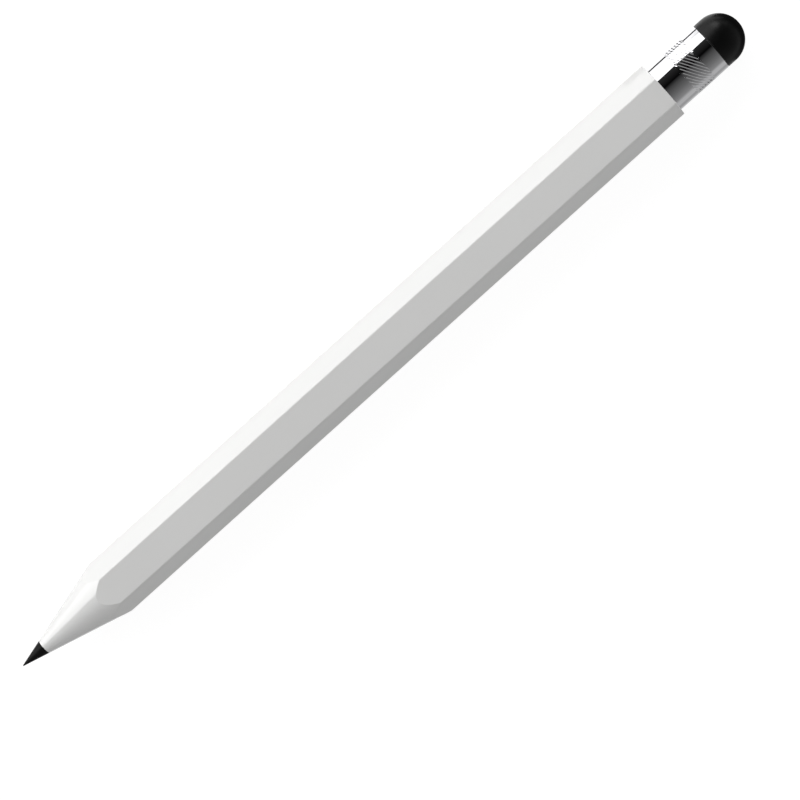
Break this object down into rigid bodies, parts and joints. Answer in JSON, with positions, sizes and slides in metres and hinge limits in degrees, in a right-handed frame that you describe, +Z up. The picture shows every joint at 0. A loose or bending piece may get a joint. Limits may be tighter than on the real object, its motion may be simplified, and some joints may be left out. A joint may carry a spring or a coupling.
{
  "type": "stylus pen",
  "caption": "Pencil-shaped active stylus: white hexagonal barrel sharpened to a cone, push-fit black nib, knurled chrome ferrule that screws off the cell bay, soft black dome.",
  "frame": {"origin": "middle of the pen's length, below its axis, on the flat of the barrel that it rests on", "axes": "+X along the pen from the nib to the dome, +Z up out of the upper flat of the barrel"},
  "size_m": [0.1722, 0.0114, 0.01],
  "materials": {
    "white_paint": "satin",
    "nose_paint": "satin",
    "nib_black": "satin",
    "chrome_plate": "polished",
    "dome_rubber": "satin",
    "seal_rubber": "matte",
    "turned_brass": "satin",
    "spring_steel": "satin",
    "nickel_strip": "satin",
    "bronze_strip": "satin",
    "carrier_plastic": "matte",
    "board_laminate": "satin",
    "chip_resin": "matte",
    "ferrite": "matte",
    "crystal_can": "satin",
    "capacitor_ceramic": "matte",
    "fibre_board": "matte",
    "cell_metal": "satin",
    "sleeve_film": "satin"
  },
  "bodies": {
    "barrel": {"barrel": "white_paint", "nose_cone": "nose_paint", "nib_socket": "turned_brass", "nib_contact_spring": "spring_steel", "nib_terminal": "bronze_strip", "carrier": "carrier_plastic", "circuit_board": "board_laminate", "controller_chip": "chip_resin", "driver_chip": "chip_resin", "boost_inductor": "ferrite", "crystal": "crystal_can", "rectifier_diode": "chip_resin", "capacitors": "capacitor_ceramic", "ground_spring": "bronze_strip", "positive_contact": "nickel_strip", "polarity_ring": "fibre_board", "cell_can": "cell_metal", "cell_sleeve": "sleeve_film"},
    "nib": {"nib": "nib_black"},
    "tail_contact": {"contact_button": "nickel_strip", "tail_spring": "spring_steel"},
    "ferrule": {"ferrule": "chrome_plate", "dome_core": "turned_brass", "dome": "dome_rubber", "o_ring": "seal_rubber"}
  },
  "joints": [
    {"name": "nib_pull", "type": "slide", "parent": "barrel", "child": "nib", "axis": [-1, 0, 0], "range_m": [0, 0.009]},
    {"name": "ferrule_travel", "type": "slide", "parent": "barrel", "child": "tail_contact", "axis": [1, 0, 0], "range_m": [0, 0.006]},
    {"name": "ferrule_turn", "type": "hinge", "parent": "tail_contact", "child": "ferrule", "pos_m": [0.07, 0, 0.005], "axis": [1, 0, 0], "range_deg": [0, 1080]}
  ],
  "couplings": [
    {"joint": "ferrule_turn", "follows": "ferrule_travel", "rad_per_m": 3141.6}
  ]
}
